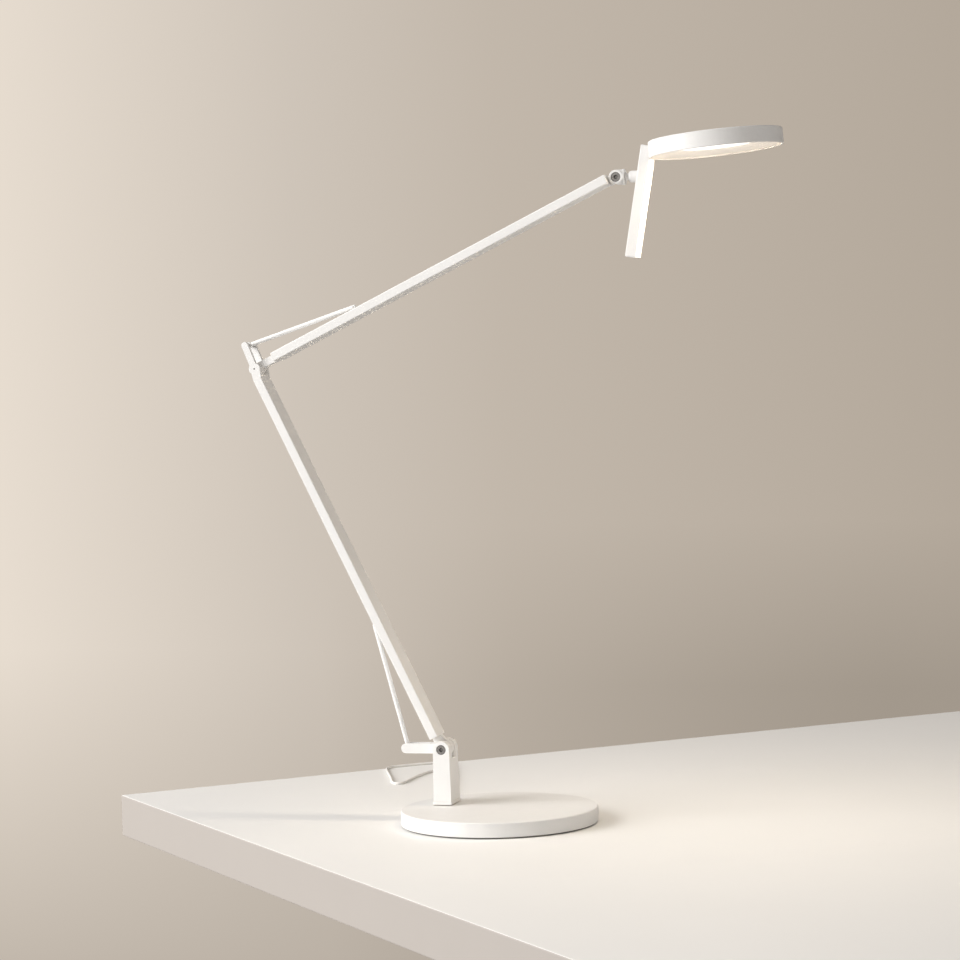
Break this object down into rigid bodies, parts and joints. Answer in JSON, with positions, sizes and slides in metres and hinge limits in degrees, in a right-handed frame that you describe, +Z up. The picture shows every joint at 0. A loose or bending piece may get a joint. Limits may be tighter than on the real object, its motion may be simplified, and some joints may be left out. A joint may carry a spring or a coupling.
{
  "type": "desk lamp",
  "caption": "Desk lamp with a round weighted base, a swivelling post, two hinged arms with thin pull rods beside them, and a flat round light head with a handle bar.",
  "frame": {"origin": "centre of the base's underside, on the table", "axes": "+Z up, +X from the base towards the light head, -Y towards the lamp's front; the arms swing in a plane parallel to XZ"},
  "size_m": [0.5668, 0.5103, 0.6903],
  "materials": {
    "cover_paint": "matt powder coat",
    "ballast": "as cast",
    "pad_rubber": "matt",
    "bush_brass": "machined",
    "white_rubber": "matt",
    "connector_metal": "bright",
    "arm_paint": "matt powder coat",
    "steel": "satin",
    "dark_steel": "blackened",
    "slider": "satin",
    "friction_disc": "matt",
    "head_paint": "matt powder coat",
    "reflector_white": "satin",
    "diffuser_opal": "opal",
    "board": "white solder mask"
  },
  "bodies": {
    "base": {"base_cover": "cover_paint", "base_weight": "ballast", "base_pad": "pad_rubber", "swivel_bush": "bush_brass", "cord_gland": "white_rubber", "cord": "white_rubber", "cord_coil": "white_rubber", "connector_grip": "white_rubber", "connector_barrel": "connector_metal"},
    "post": {"post": "arm_paint", "post_foot": "arm_paint", "lever": "arm_paint", "swivel_stud": "steel", "swivel_washer": "steel", "swivel_nut": "steel", "lower_pivot_screw": "dark_steel", "lower_pivot_nut": "dark_steel"},
    "lower_arm": {"lower_arm_foot": "arm_paint", "lower_arm_tube": "arm_paint", "lower_arm_head": "arm_paint", "elbow_cheek_front": "arm_paint", "elbow_cheek_back": "arm_paint", "elbow_axle": "dark_steel", "elbow_washer_front": "friction_disc", "elbow_washer_back": "friction_disc", "lower_spring_cartridge": "steel"},
    "lower_carriage": {"lower_carriage": "slider", "lower_draw_rod": "steel"},
    "lower_rod": {"lower_rod": "arm_paint", "lower_rod_pin": "dark_steel", "lever_pin": "dark_steel"},
    "upper_arm": {"upper_arm_neck": "arm_paint", "upper_arm_tube": "arm_paint", "upper_arm_tip": "arm_paint", "upper_spring_cartridge": "steel"},
    "upper_carriage": {"upper_carriage": "slider", "upper_draw_rod": "steel"},
    "upper_rod": {"upper_rod": "arm_paint", "upper_rod_pin": "dark_steel", "ear_axle": "dark_steel"},
    "knuckle": {"head_knuckle": "head_paint", "head_pivot_screw": "dark_steel", "head_pivot_nut": "dark_steel", "neck_spindle": "steel", "spindle_nut": "steel"},
    "head": {"neck_collar": "head_paint", "head_stem": "head_paint", "stem_cap_bottom": "head_paint", "stem_cap_top": "head_paint", "head_housing": "head_paint", "reflector": "reflector_white", "diffuser": "diffuser_opal", "light_board": "board", "heat_spreader": "board"}
  },
  "joints": [
    {"name": "base_swivel", "type": "hinge", "parent": "base", "child": "post", "pos_m": [-0.0613, 0.0198, 0.017], "axis": [0, 0, 1], "range_deg": [-170, 170]},
    {"name": "lower_tilt", "type": "hinge", "parent": "post", "child": "lower_arm", "pos_m": [-0.0613, 0.0198, 0.0733], "axis": [0, -1, 0], "range_deg": [-35, 18]},
    {"name": "elbow", "type": "hinge", "parent": "lower_arm", "child": "upper_arm", "pos_m": [-0.25064, 0.0198, 0.46671], "axis": [0, -1, 0], "range_deg": [-35, 35]},
    {"name": "head_tilt", "type": "hinge", "parent": "upper_arm", "child": "knuckle", "pos_m": [0.13523, 0.0198, 0.64746], "axis": [0, -1, 0], "range_deg": [-45, 45]},
    {"name": "head_swivel", "type": "hinge", "parent": "knuckle", "child": "head", "pos_m": [0.13523, 0.0198, 0.64746], "axis": [1, 0, 0], "range_deg": [-90, 90]},
    {"name": "lower_slide", "type": "slide", "parent": "lower_arm", "child": "lower_carriage", "axis": [-0.4337, 0, 0.9011], "range_m": [-0.0245, 0.013]},
    {"name": "lower_rod_turn", "type": "hinge", "parent": "lower_carriage", "child": "lower_rod", "pos_m": [-0.1328, 0.0198, 0.19881], "axis": [0, -1, 0], "range_deg": [-4, 3]},
    {"name": "upper_slide", "type": "slide", "parent": "upper_arm", "child": "upper_carriage", "axis": [0.9056, 0, 0.4242], "range_m": [-0.0165, 0.0165]},
    {"name": "upper_rod_turn", "type": "hinge", "parent": "upper_carriage", "child": "upper_rod", "pos_m": [-0.1452, 0.0198, 0.52714], "axis": [0, -1, 0], "range_deg": [-1, 1]}
  ],
  "couplings": [
    {"joint": "lower_slide", "follows": "lower_tilt", "m_per_rad": 0.0385},
    {"joint": "lower_rod_turn", "follows": "lower_tilt", "ratio": 0.09},
    {"joint": "upper_slide", "follows": "elbow", "m_per_rad": 0.0257},
    {"joint": "upper_rod_turn", "follows": "elbow", "ratio": 0.02}
  ]
}
